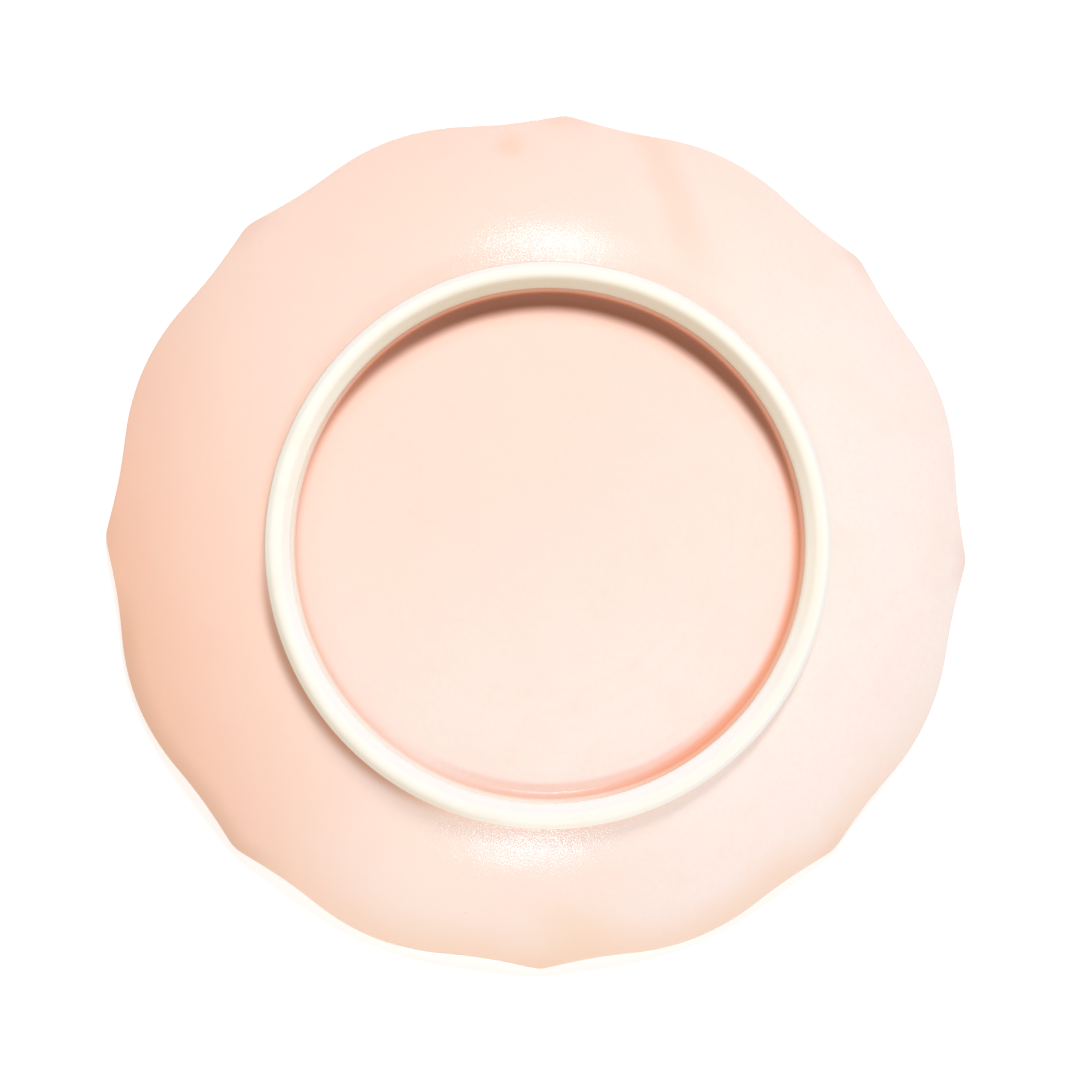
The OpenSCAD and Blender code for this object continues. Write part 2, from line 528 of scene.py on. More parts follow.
@dataclass(frozen=True)
class GlazeFinish:
    """Satin pink glaze, paler on one side and deeper on the other, partly its own tone and partly painted
    light and shade, with clouds, specks and a fine orange peel.
    """

    # deep, pale and ruddy: partly the glaze's own tone, partly painted light and shade, paler towards the
    # lit side with its sheen, and deeper and ruddier towards the shaded side.
    deep: str = "#FDDCCB"
    pale: str = "#FEEFE7"
    paling: Span = (-60 * MM, 110 * MM)
    drift: float = 50 * MM
    drift_grain: float = 60 * MM
    dish_pale_way: Way = (-0.94, -0.342, 0)
    base_pale_way: Way = (-0.5, -0.87, 0)
    base_shift: float = 2 * MM
    ruddy: str = "#FAB88F"
    ruddy_strength: float = 0.85
    ruddy_way: Way = (0.97, -0.24, 0)
    ruddy_span: Span = (45 * MM, 125 * MM)
    clouds: Sequence[Cloud] = (
        Cloud(ROSE, 9 * MM, 4, (0.45, 0.75), 0.12),
        Cloud(ROSE, 1.3 * MM, 3, (0.4, 0.7), 0.1),
        Cloud(STRAW, 26 * MM, 2, (0.5, 0.75), 0.14),
    )
    specks: Specks = Specks("#C08F74", spacing=13 * MM, radius=0.28 * MM, share=0.3, strength=0.5)
    blushes: Sequence[Blush] = (
        Blush("#F5B48F", 0.28, (11.1 * MM, 95.6 * MM, 17.8 * MM), 6 * MM),
        Blush("#F8D6AE", 0.4, (-10 * MM, -93 * MM, 16 * MM), 18 * MM),
        Blush("#FEE8D8", 0.6, (29 * MM, -82 * MM, 12 * MM), 40 * MM),
    )
    run: Streak = Streak(
        "#FCD0BA",
        0.5,
        way=(0.295, 0.955, 0),
        across=(0.955, -0.295, 0),
        offset=-50.9 * MM,
        half_width=(2 * MM, 9 * MM),
        start=(44 * MM, 66 * MM),
        wobble=3 * MM,
        wobble_grain=12 * MM,
    )
    shade: str = "#EBB79E"
    shade_strength: float = 0.25
    shade_along: Span = (1 * MM, 9 * MM)
    shade_down: Span = (2 * MM, 9 * MM)
    rim: SideTone = SideTone("#FACCA6", 0.5, (-0.26, -0.966, 0), (0.45, 0.95), (1 * MM, 19 * MM))
    # Painted shade near the lip on the side away from the light.
    tan: SideTone = SideTone("#B98F6A", 0.31, (0.866, -0.5, 0), (0.9, 0.985), (2 * MM, 10 * MM))
    thin: str = THIN
    thin_strength: float = 0.25
    thin_band: Span = (0.6 * MM, 2.2 * MM)
    thin_wobble: float = 0.8 * MM
    thin_grain: float = 3 * MM
    # Painted shadow that the foot casts on the wall.
    foot_shadow: SideTone = SideTone("#A25A26", 0.8, FOOT_SHADOW_WAY, (0.81, 1.0), (0.3 * MM, 4 * MM))
    # Painted shade in the corner where the wall meets the foot, on the side of the foot's shadow, toasted in
    # tone.
    corner: SideTone = SideTone(TOASTED_AND_SHADED, 0.28, FOOT_SHADOW_WAY, (-0.1, 0.6), (0.3 * MM, 3 * MM))
    turning: str = STRAW
    turning_strength: float = 0.07
    turning_grain: float = 2.5 * MM
    turning_levels: Span = (0.4, 0.7)
    pool: Pool = Pool()
    roughness: float = 0.12
    unevenness: float = 0.06
    uneven_grain: float = 6 * MM
    dulling: float = 0.5
    smoothing: float = 0.07
    levelling: float = 0.75
    peel_grain: float = 0.42 * MM
    peel_depth: float = 0.045 * MM
    ripple_grain: float = 5 * MM
    ripple_depth: float = 0.05 * MM
    refraction: float = 1.5

    def glaze_tone(self, graph: Graph, place: Wire, across: Wire) -> Wire:
        """Colour of the glaze where it lies at its usual thickness, with its paler and deeper sides partly
        painted light and shade.

        Args:
            graph: The material's graph.
            place: The point on the surface.
            across: How far the point lies towards the paler side.

        Returns:
            The colour.
        """
        across = across + self.drift * (graph.noise(place, self.drift_grain, 3) - 0.5)
        colour = graph.blend(graph.rise(across, *self.paling), linear(self.deep), linear(self.pale))
        ruddy = graph.rise(graph.along(place, self.ruddy_way), *self.ruddy_span)
        colour = graph.blend(self.ruddy_strength * ruddy, colour, linear(self.ruddy))
        for cloud in self.clouds:
            colour = cloud.over(graph, place, colour)
        return self.specks.over(graph, place, colour)

    def finish(
        self,
        graph: Graph,
        place: Wire,
        colour: Wire,
        level: Wire | float = 0,
        dull: Wire | float = 0,
    ) -> None:
        """Ends a glaze material.

        Args:
            graph: The material's graph.
            place: The point on the surface.
            colour: The glaze's colour there.
            level: How far the glaze has run level there, from 0 to 1.
            dull: How far it has gone dull there, from 0 to 1.
        """
        uneven = graph.noise(place, self.uneven_grain, 3)
        ripple = graph.bump(graph.noise(place, self.ripple_grain, 1), self.ripple_depth)
        grains = (graph.noise(place, self.peel_grain, 1) - 0.5) * (1 - level)
        peel = graph.bump(grains, self.peel_depth, ripple)
        roughness = self.roughness + self.unevenness * uneven + self.dulling * dull - self.smoothing * level
        graph.surface(Base_Color=colour, Roughness=roughness, Normal=peel, IOR=self.refraction)

    def on_dish(self) -> bpy.types.Material:
        """Glaze of the dish: thin on the lip, deeper in the run, with painted shade at the points, near the
        lip on the shaded side, and in the foot's shadow and corner.

        Returns:
            The material.
        """
        material, graph = new_material("satin_glaze")
        place = graph.place()
        bearing = graph.bearing(place)
        colour = self.glaze_tone(graph, place, graph.along(place, self.dish_pale_way))
        for blush in self.blushes:
            colour = blush.over(graph, place, colour)
        colour = self.run.over(graph, place, colour)
        from_lip = abs(graph.mark("from_lip"))
        # Painted shade at the points of the rim.
        at_point = self.shade_strength * graph.fall(graph.mark("from_point"), *self.shade_along)
        at_point = at_point * graph.fall(from_lip, *self.shade_down)
        colour = graph.blend(at_point, colour, linear(self.shade))
        # A deeper peach near the lip on the lower side, then painted shade near the lip on the shaded side.
        for side_tone in (self.rim, self.tan):
            colour = side_tone.over(graph, bearing, from_lip, colour)
        ragged = from_lip + self.thin_wobble * graph.noise(place, self.thin_grain)
        bared = self.thin_strength * graph.fall(ragged, *self.thin_band)
        colour = graph.blend(bared, colour, linear(self.thin))
        from_foot = graph.mark("from_foot")
        # Painted shadow of the foot on the wall, and painted shade in its corner.
        for side_tone in (self.foot_shadow, self.corner):
            colour = side_tone.over(graph, bearing, from_foot, colour)
        self.finish(graph, place, colour)
        return material

    def in_foot(self) -> bpy.types.Material:
        """Glaze of the base: turned rings, a pool in the corner, and the foot's shadow painted into it on
        one side.

        Returns:
            The material.
        """
        material, graph = new_material("pooled_glaze")
        place = graph.place()
        # The base is paler towards base_pale_way: partly the glaze's own tone, partly painted reflection.
        colour = self.glaze_tone(graph, place, graph.along(place, self.base_pale_way) + self.base_shift)
        turned = graph.rise(graph.rings(graph.from_axis(place), self.turning_grain), *self.turning_levels)
        colour = graph.blend(self.turning_strength * turned, colour, linear(self.turning))
        colour, pooled, painted_shadow = self.pool.over(graph, place, colour)
        self.finish(graph, place, colour, self.levelling * pooled, painted_shadow)
        return material


@dataclass(frozen=True)
class ClayFinish:
    """Cream clay: bare and rubbed smooth on the foot, dull under the glaze.

    The bevels of the foot carry painted light, a chalky tone on their lit side, and painted shade, a warm
    tone on their shaded side. Their bands are distances from the edges of the land, and count up over it.
    """

    cream: str = "#FDF8EB"
    sandy: str = SANDY
    stains: Cloud = Cloud(SANDY, 7 * MM, 4, (0.45, 0.85), 0.4)
    grit: Cloud = Cloud(SANDY, 0.35 * MM, 2, (0.55, 0.8), 0.25)
    warm_way: Way = (-0.77, 0.64, 0)
    warm_facing: Span = (-0.4, 0.7)
    warmth: float = 0.4
    inner_bevel_light_and_shade: Sequence[SideTone] = (
        SideTone(BEVEL_LIGHT, 1.0, (0.2, -0.98, 0), (-0.1, 0.6), INNER_BEVEL),
        SideTone(BEVEL_SHADE, 1.0, (-0.2, 0.98, 0), (0.1, 0.98), INNER_BEVEL),
    )
    outer_bevel_light_and_shade: Sequence[SideTone] = (
        SideTone(BEVEL_LIGHT, 0.7, (-0.74, 0.67, 0), (-0.7, 0.2), OUTER_BEVEL),
        SideTone(BEVEL_SHADE, 0.7, (0.74, -0.67, 0), (0.7, 0.98), OUTER_BEVEL),
    )
    specks: Specks = Specks("#D2C0A4", spacing=6 * MM, radius=0.16 * MM, share=0.3, strength=0.5)
    tool_grain: float = 0.5 * MM
    tool_depth: float = 0.012 * MM
    sand_grain: float = 0.35 * MM
    sand_depth: float = 0.012 * MM
    bare_roughness: float = 0.72
    bare_unevenness: float = 0.16
    bare_refraction: float = 1.45
    covered_roughness: float = 0.8
    covered_unevenness: float = 0.1

    def bare(self, land_in: float, land_out: float) -> bpy.types.Material:
        """Foot ring: fine sand, the rings that turning left, and painted light and shade on the bevels.

        Args:
            land_in: Inner radius of the flat land.
            land_out: Outer radius of the flat land.

        Returns:
            The material.
        """
        material, graph = new_material("bare_clay")
        place = graph.place()
        radius = graph.from_axis(place)
        bearing = graph.bearing(place)
        sand = graph.noise(place, self.sand_grain)
        colour = self.stains.over(graph, place, linear(self.cream))
        colour = self.grit.over(graph, place, colour)
        warm = graph.rise(graph.along(bearing, self.warm_way), *self.warm_facing)
        colour = graph.blend(self.warmth * warm, colour, linear(self.sandy))
        # Painted shade on each bevel's shaded side and painted light on its lit side.
        for side_tone in self.inner_bevel_light_and_shade:
            colour = side_tone.over(graph, bearing, radius - land_in, colour)
        for side_tone in self.outer_bevel_light_and_shade:
            colour = side_tone.over(graph, bearing, land_out - radius, colour)
        colour = self.specks.over(graph, place, colour)
        lines = graph.bump(graph.rings(radius, self.tool_grain), self.tool_depth)
        grain = graph.bump(sand, self.sand_depth, lines)
        roughness = self.bare_roughness + self.bare_unevenness * sand
        graph.surface(Base_Color=colour, Roughness=roughness, Normal=grain, IOR=self.bare_refraction)
        return material

    def covered(self) -> bpy.types.Material:
        """Body under the glaze.

        Returns:
            The material.
        """
        material, graph = new_material("covered_clay")
        sand = graph.noise(graph.place(), self.sand_grain)
        colour = graph.blend(sand, linear(self.cream), linear(self.sandy))
        graph.surface(Base_Color=colour, Roughness=self.covered_roughness + self.covered_unevenness * sand)
        return material


def closed_skin(
    name: str,
    points: np.ndarray,
    ends: np.ndarray | None = None,
    marks: Mapping[str, np.ndarray] | None = None,
) -> bpy.types.Object:
    """Joins rings of points into one closed, smooth mesh.

    Four points next to each other on two rings make a face. The rings run from the top out and round to the
    bottom, each anticlockwise from above, so the faces point outwards.

    Args:
        name: Name of the piece.
        points: Rings by columns by 3 coordinates.
        ends: Two points on the axis that close the first and the last ring. Without them the last ring
            joins the first.
        marks: Values by name, rings by columns, that the finish reads.

    Returns:
        The piece, at the origin.
    """
    rings, columns = points.shape[:2]
    place = np.arange(rings * columns).reshape(rings, columns)
    after = np.roll(place, -1, axis=1)
    shift = 0 if ends is None else 1
    here, there = (place, np.roll(place, -1, axis=0)) if ends is None else (place[:-1], place[1:])
    quads = np.stack([here, there, np.roll(there, -1, axis=1), np.roll(here, -1, axis=1)], -1)
    faces = (quads.reshape(-1, 4) + shift).tolist()
    vertices = points.reshape(-1, 3)
    if ends is not None:
        vertices = np.concatenate([ends[:1], vertices, ends[1:]])
        last = np.full(columns, len(vertices) - 1)
        first_fan = np.stack([np.zeros_like(last), place[0] + shift, after[0] + shift], -1)
        last_fan = np.stack([last, after[-1] + shift, place[-1] + shift], -1)
        faces += first_fan.tolist() + last_fan.tolist()
    mesh = bpy.data.meshes.new(name)
    mesh.from_pydata(vertices.tolist(), [], faces)
    for mark, values in (marks or {}).items():
        flat = values.reshape(-1)
        if ends is not None:
            flat = np.concatenate([flat[:1], flat, flat[-1:]])
        mesh.attributes.new(mark, "FLOAT", "POINT").data.foreach_set("value", flat.astype(np.float32))
    mesh.shade_smooth()
    piece = bpy.data.objects.new(name, mesh)
    bpy.context.scene.collection.objects.link(piece)
    return piece


def install(piece: bpy.types.Object, material: bpy.types.Material, node: str) -> None:
    """Dresses a piece and hands it to the frame.

    Args:
        piece: The piece.
        material: Its finish.
        node: The node that the piece stands for.
    """
    piece.data.materials.append(material)
    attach(piece, BODY)
    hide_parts(node)
    log.info("%s stands for %s, %d faces", piece.name, node, len(piece.data.polygons))


@dataclass(frozen=True)
class Scallops:
    """Outline of the rim in plan: tip, notch and lobe arcs that touch, repeated round the plate."""

    reach: float
    count: int = 8
    lobe_r: float = 56.5 * MM
    notch_r: float = 128 * MM
    tip_r: float = 8 * MM
    pinch: float = 0.42 * MM
    pinch_at: float = 0.38
    crowding: float = 0.55

    def columns(self) -> np.ndarray:
        """Angles of the skin's columns, close near the points: v - c sin(2 pi v) / (2 pi) scallops."""
        share = np.arange(self.count * COLUMNS_PER_SCALLOP) / COLUMNS_PER_SCALLOP
        return (share - self.crowding * np.sin(2 * np.pi * share) / (2 * np.pi)) * 2 * np.pi / self.count

    def from_point(self, angle: np.ndarray) -> np.ndarray:
        """Angle to the nearest point of the rim."""
        half = np.pi / self.count
        return np.abs((angle + half) % (2 * half) - half)

    def radius(self, angle: np.ndarray) -> np.ndarray:
        """Distance of the outline from the axis.

        A ray from the axis meets the arc of radius R about C at b + s sqrt(b^2 - |C|^2 + R^2), where b is
        how far C lies along the ray, and s is 1 where the arc bulges outwards and -1 where it is hollow. The
        fingers that made the notches pinched them in a little further, most at pinch_at of the way to mid
        lobe.

        Args:
            angle: Angles round the axis, with a point of the rim at 0.

        Returns:
            The distance at each angle.
        """
        half = np.pi / self.count
        tip = self.reach - self.tip_r + 0j
        lobe = (self.reach - self.lobe_r) * np.exp(1j * half)
        span = abs(lobe - tip)
        tip_reach = self.notch_r + self.tip_r
        lobe_reach = self.notch_r + self.lobe_r
        along = (tip_reach ** 2 - lobe_reach ** 2 + span ** 2) / (2 * span)
        heading = np.angle(lobe - tip) - np.arccos(along / tip_reach)
        notch = tip + tip_reach * np.exp(1j * heading)
        tip_end = np.angle(tip + (notch - tip) * self.tip_r / tip_reach)
        lobe_start = np.angle(lobe + (notch - lobe) * self.lobe_r / lobe_reach)
        folded = self.from_point(angle)

        def meets(centre: complex, arc_r: float, bulge: int) -> np.ndarray:
            """Where the rays meet one of the arcs."""
            nearest = (centre * np.exp(-1j * folded)).real
            return nearest + bulge * np.sqrt(np.maximum(nearest ** 2 - abs(centre) ** 2 + arc_r ** 2, 0))

        arcs = [meets(tip, self.tip_r, 1), meets(notch, self.notch_r, -1)]
        drawn = np.select([folded < tip_end, folded < lobe_start], arcs, meets(lobe, self.lobe_r, 1))
        share = folded / half
        return drawn - self.pinch * eased(share / self.pinch_at) * eased((1 - share) / (1 - self.pinch_at))


@dataclass(frozen=True)
class Handwork:
    """How far the made plate strays from a true one.

    Its rim wanders and is drawn in, its wall swells in slow waves, and its foot lies off centre. Each wave
    has a count round the plate, a share of the swell and a phase.
    """

    still_r: float
    reach: float
    off_centre: Point = (-0.2 * MM, 0.04 * MM, 0)
    wander: float = np.radians(1.2)
    wander_from: float = np.radians(31.8)
    draw: float = 0.0044
    long_axis: float = np.radians(-5.6)
    swell: float = 0.1 * MM
    waves: Sequence[tuple[int, float, float]] = ((3, 1.0, 0.6), (5, 0.7, -1.9))

    def on_axis(self, *heights: float) -> np.ndarray:
        """Points on the foot's axis at given heights."""
        return np.column_stack([np.zeros((len(heights), 2)), heights]) + np.array(self.off_centre)

    def turned(self, radius: np.ndarray, height: np.ndarray, angle: np.ndarray) -> np.ndarray:
        """Carries section points round the foot's axis: x = r cos a, y = r sin a, z = h, and off centre."""
        flat = np.broadcast_arrays(radius * np.cos(angle), radius * np.sin(angle), height)
        return np.stack(flat, -1) + np.array(self.off_centre)

    def applied(self, radius: np.ndarray, height: np.ndarray, angle: np.ndarray) -> np.ndarray:
        """Moves section points of the dish and carries them round.

        With s eased from 0 at the foot to 1 at the rim, the angle a turns on by s times the wander times
        sin(a - a0), the radius shrinks by s times the draw times 1 - cos 2(a - a1), the height swells by
        4s(1 - s) times the waves, and the shift off centre fades by 1 - s.

        Args:
            radius: Radius of each point.
            height: Height of each point.
            angle: Angle of each column.

        Returns:
            The points.
        """
        share = eased((radius - self.still_r) / (self.reach - self.still_r))
        wandered = angle + share * self.wander * np.sin(angle - self.wander_from)
        drawn = radius * (1 - share * self.draw * (1 - np.cos(2 * (angle - self.long_axis))))
        waves = sum(size * np.sin(count * angle + phase) for count, size, phase in self.waves)
        points = self.turned(drawn, height + 4 * share * (1 - share) * self.swell * waves, wandered)
        return points - share[..., None] * np.array(self.off_centre)


@dataclass(frozen=True)
class Steps:
    """How many rings each stretch of the dish's section has."""

    well: int
    face: int
    lip: int
    back: int


@dataclass
class Dish:
    """The dish: a flat well and a curved wall, cut to the scalloped outline, with a half-round lip."""

    reach: float
    height: float
    foot_r: float
    foot_h: float
    lip_t: float = 3.6 * MM
    rim_slope: float = np.radians(40)
    floor_t: float = 5.4 * MM
    glaze_t: float = 0.4 * MM
    fillet: float = 0.6 * MM
    fine: Steps = Steps(well=12, face=42, lip=20, back=50)
    coarse: Steps = Steps(well=4, face=20, lip=10, back=20)
    fillet_steps: int = 6

    def __post_init__(self) -> None:
        """Works out the section's arcs, as the face and the back both reach the lip at its slope."""
        slope = self.rim_slope
        self.outline = Scallops(self.reach)
        self.hand = Handwork(self.foot_r, self.reach)
        self.floor_z = self.foot_h + self.floor_t
        self.lip_r = self.lip_t / 2
        self.lip_in = self.lip_r * (1 + np.sin(slope))
        self.lip_out = self.lip_r * (1 - np.sin(slope))
        face_end_z = self.height - self.lip_r * (1 - np.cos(slope))
        back_end_z = self.height - self.lip_r * (1 + np.cos(slope))
        self.face_r = (face_end_z - self.floor_z) / (1 - np.cos(slope))
        self.well_r = self.reach - self.lip_in - self.face_r * np.sin(slope)
        chord = self.reach - self.lip_out - self.foot_r + 1j * (back_end_z - self.foot_h)
        self.back_r = abs(chord) / (2 * np.sin(slope - np.angle(chord)))
        self.corner_slope = 2 * np.angle(chord) - slope
        self.back_c = self.foot_r + 1j * self.foot_h + 1j * self.back_r * np.exp(1j * self.corner_slope)

    def well(self, share: np.ndarray, depth: float) -> np.ndarray:
        """The flat well, as radius + i height: r = share of the well's radius."""
        return self.well_r * share + 1j * (self.floor_z - depth)

    def face(self, edge: np.ndarray, share: np.ndarray, depth: float) -> np.ndarray:
        """The face's arc, which leaves the well level: C - i R e^(i slope).

        Args:
            edge: Radius of the outline at each column.
            share: How far along the arc, from the well.
            depth: How far under the surface.

        Returns:
            Radius + i height.
        """
        slope = share * np.arcsin((edge - self.lip_in - self.well_r) / self.face_r)
        centre = self.well_r + 1j * (self.floor_z + self.face_r)
        return centre - 1j * (self.face_r + depth) * np.exp(1j * slope)

    def back(self, edge: np.ndarray, share: np.ndarray, depth: float) -> np.ndarray:
        """The back's arc from the lip to the foot's corner: C - i R e^(i slope).

        Args:
            edge: Radius of the outline at each column.
            share: How far along the arc, from the lip.
            depth: How far under the surface.

        Returns:
            Radius + i height.
        """
        rim = np.arcsin((edge - self.lip_out - self.back_c.real) / self.back_r)
        slope = rim + (self.corner_slope - rim) * share
        return self.back_c - 1j * (self.back_r - depth) * np.exp(1j * slope)

    def lip(self, edge: np.ndarray, share: np.ndarray, depth: float) -> np.ndarray:
        """The half round from the face's end to the back's: M + A e^(-i pi share).

        Args:
            edge: Radius of the outline at each column.
            share: How far along the half round, from the face.
            depth: How far under the surface.

        Returns:
            Radius + i height.
        """
        face_end = self.face(edge, np.ones(1), 0)
        back_end = self.back(edge, np.zeros(1), 0)
        across = (face_end - back_end) / 2 * (1 - depth / self.lip_r)
        return (face_end + back_end) / 2 + across * np.exp(-1j * np.pi * share)

    def section(self, edge: np.ndarray, steps: Steps, depth: float) -> np.ndarray:
        """Section of the dish at a depth under the glaze's surface.

        Args:
            edge: Radius of the outline at each column.
            steps: Rings of each stretch.
            depth: How far under the surface.

        Returns:
            Radius + i height, rings by columns, from the well over the lip and back to the foot's corner.
        """
        def shares(count: int) -> np.ndarray:
            """Even shares after 0 up to 1, down the rings."""
            return (np.arange(1, count + 1) / count)[:, None]

        well = self.well(shares(steps.well), depth) + 0 * edge
        face = self.face(edge, shares(steps.face), depth)
        lip = self.lip(edge, shares(steps.lip)[:-1], depth)
        back = self.back(edge, np.concatenate([np.zeros((1, 1)), shares(steps.back)]), depth)
        return np.concatenate([well, face, lip, back])

    def filleted(self, outside: np.ndarray) -> np.ndarray:
        """Rounds the glaze into the foot's side.

        The last rings come off where the back is a fillet away from the corner K. A quarter of an ellipse
        goes from there, P, to Q down the foot: K + (P - K)(1 - sin t) + (Q - K)(1 - cos t).

        Args:
            outside: The section at the glaze's surface.

        Returns:
            The section with the fillet.
        """
        kept = outside[np.abs(outside[:, 0] - outside[-1, 0]) > self.fillet]
        corner = outside[-1:]
        start = corner + (kept[-1:] - corner) * self.fillet / np.abs(kept[-1:] - corner)
        end = corner - 1j * self.fillet
        turn = (np.arange(self.fillet_steps + 1) / self.fillet_steps * np.pi / 2)[:, None]
        curve = corner + (start - corner) * (1 - np.sin(turn)) + (end - corner) * (1 - np.cos(turn))
        return np.concatenate([kept, curve])

    def glaze(self, finish: GlazeFinish) -> None:
        """Builds the coat of glaze: its surface, a fillet into the foot, and its inner side on the clay.

        Args:
            finish: The glaze.
        """
        angle = self.outline.columns()
        edge = self.outline.radius(angle)
        outside = self.filleted(self.section(edge, self.fine, 0))
        inside = self.section(edge, self.coarse, self.glaze_t)[::-1]
        corner = np.full((1, edge.size), self.foot_r + 1j * self.foot_h)
        section = np.concatenate([outside, corner, inside])
        run = np.cumsum(np.abs(np.diff(outside, axis=0, prepend=outside[:1])), axis=0)
        crest = self.fine.well + self.fine.face + self.fine.lip // 2
        hidden = np.full((len(section) - len(outside), edge.size), self.reach)
        marks = {
            "from_lip": np.concatenate([run - run[crest], hidden]),
            "from_foot": np.concatenate([run[-1] - run, hidden]),
            "from_point": self.outline.from_point(angle) * section.real,
        }
        points = self.hand.applied(section.real, section.imag, angle)
        ends = self.hand.on_axis(self.floor_z, self.floor_z - self.glaze_t)
        piece = closed_skin("glaze_on_dish", points, ends, marks)
        install(piece, finish.on_dish(), "glaze_coat")

    def clay(self, finish: ClayFinish, seat_in: float, recess_r: float, recess_z: float) -> None:
        """Builds the clay body, from the glaze's inner side down to the foot's seat and the recess.

        Args:
            finish: The clay.
            seat_in: Inner radius of the foot's seat.
            recess_r: Radius of the recess at its ceiling.
            recess_z: Height of that ceiling.
        """
        angle = self.outline.columns()
        edge = self.outline.radius(angle)
        seat_r = np.array([self.foot_r, seat_in, recess_r])
        seat_z = np.array([self.foot_h, self.foot_h, recess_z])
        seat = (seat_r + 1j * seat_z)[:, None] + 0 * edge
        section = np.concatenate([self.section(edge, self.coarse, self.glaze_t), seat])
        points = self.hand.applied(section.real, section.imag, angle)
        ends = self.hand.on_axis(self.floor_z - self.glaze_t, recess_z)
        install(closed_skin("clay_dish", points, ends), finish.covered(), "clay_body")


@dataclass
class FootRing:
    """The bare ring that the plate stands on: a flat land between two bevels, with all edges rounded."""

    radius: float
    height: float
    hand: Handwork
    land_w: float = 2.2 * MM
    bevel_w: float = 1.4 * MM
    bevel_h: float = 1.6 * MM
    lean: float = 0.3 * MM
    inner_w: float = 2.0 * MM
    inner_h: float = 2.3 * MM
    inner_lean: float = 0.6 * MM
    edge_r: float = 1.6 * MM
    edge_steps: int = 10
    side_steps: int = 4

    def __post_init__(self) -> None:
        """Works out the radii of the section's corners."""
        self.land_out = self.radius - self.lean - self.bevel_w
        self.land_in = self.land_out - self.land_w
        self.side_in = self.land_in - self.inner_w

    def inside_r(self, height: np.ndarray | float) -> np.ndarray | float:
        """Radius of the inner side at a height, from the bevel up past the seat into the base."""
        return self.side_in - self.inner_lean * (height - self.inner_h) / (self.height - self.inner_h)

    def profile(self) -> np.ndarray:
        """Section with its edges rounded.

        At each corner an arc of the edge's radius touches both sides, at a distance of edge_r tan(turn / 2)
        from the corner, and the straight stretches between the arcs are divided evenly.

        Returns:
            Radius + i height of each point, from the outer seat down, round to the inner seat and across.
        """
        corners = np.array([
            self.radius + 1j * self.height,
            self.radius - self.lean + 1j * self.bevel_h,
            self.land_out,
            self.land_in,
            self.side_in + 1j * self.inner_h,
            self.inside_r(self.height) + 1j * self.height,
        ])
        before = corners[1:-1] - corners[:-2]
        after = corners[2:] - corners[1:-1]
        turn = np.angle(after / before)
        starts = corners[1:-1] - self.edge_r * np.tan(np.abs(turn) / 2) * before / np.abs(before)
        inwards = np.sign(turn) * 1j * before / np.abs(before) * self.edge_r
        sweep = np.exp(1j * turn[:, None] * np.linspace(0, 1, self.edge_steps + 1))
        arcs = (starts + inwards)[:, None] - inwards[:, None] * sweep
        stops = np.concatenate([corners[:1], arcs.ravel(), corners[-1:], corners[:1]])
        share = np.arange(self.side_steps) / self.side_steps
        return (stops[:-1, None] + np.diff(stops)[:, None] * share).ravel()

    def build(self, finish: ClayFinish, columns: np.ndarray) -> None:
        """Builds the ring.

        Args:
            finish: The clay.
            columns: Angles round the axis.
        """
        section = self.profile()[:, None]
        points = self.hand.turned(section.real, section.imag, columns)
        material = finish.bare(self.land_in, self.land_out)
        install(closed_skin("bare_foot_ring", points), material, "foot_ring")


